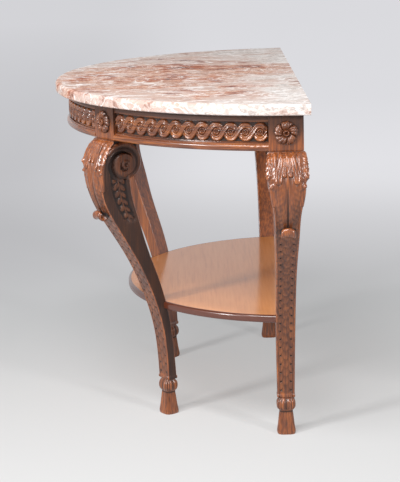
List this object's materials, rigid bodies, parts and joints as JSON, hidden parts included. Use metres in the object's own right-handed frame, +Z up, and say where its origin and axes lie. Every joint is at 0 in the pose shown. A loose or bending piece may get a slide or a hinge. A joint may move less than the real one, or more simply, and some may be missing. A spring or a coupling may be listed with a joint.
{
  "type": "pier table",
  "caption": "Half-round pier table: a loose marble slab on a carved wooden frame with scrolled legs, a guilloche frieze, rosettes and a low half-round shelf.",
  "frame": {"origin": "on the floor, under the middle of the table's bounding box", "axes": "+Z up, the half-round front looks along -Y, the straight wall side along +Y, +X to the right of someone who faces the front"},
  "size_m": [1.2704, 0.6199, 0.84],
  "materials": {
    "marble": "polished red-brown marble with pale veins",
    "polished_wood": "French-polished red-brown hardwood",
    "carved_wood": "carved and French-polished hardwood",
    "shelf_wood": "polished orange-brown veneer",
    "frame_wood": "plain planed hardwood"
  },
  "bodies": {
    "frame": {"cross_bearer": "frame_wood", "back_rail": "frame_wood", "right_rail": "polished_wood", "front_rail": "polished_wood", "left_rail": "polished_wood", "right_moulding": "polished_wood", "front_moulding": "polished_wood", "left_moulding": "polished_wood", "right_guilloche": "carved_wood", "front_guilloche": "carved_wood", "left_guilloche": "carved_wood", "right_back_rosette": "carved_wood", "right_front_rosette": "carved_wood", "left_front_rosette": "carved_wood", "left_back_rosette": "carved_wood", "right_back_leg": "polished_wood", "right_front_leg": "polished_wood", "left_front_leg": "polished_wood", "left_back_leg": "polished_wood", "shelf": "shelf_wood", "shelf_dowels": "frame_wood", "right_back_glue_blocks": "frame_wood", "right_front_glue_blocks": "frame_wood", "left_front_glue_blocks": "frame_wood", "left_back_glue_blocks": "frame_wood"},
    "top": {"marble_top": "marble"}
  },
  "joints": [
    {"name": "top_lift", "type": "slide", "parent": "frame", "child": "top", "axis": [0, 0, 1], "range_m": [0, 0.12]}
  ]
}
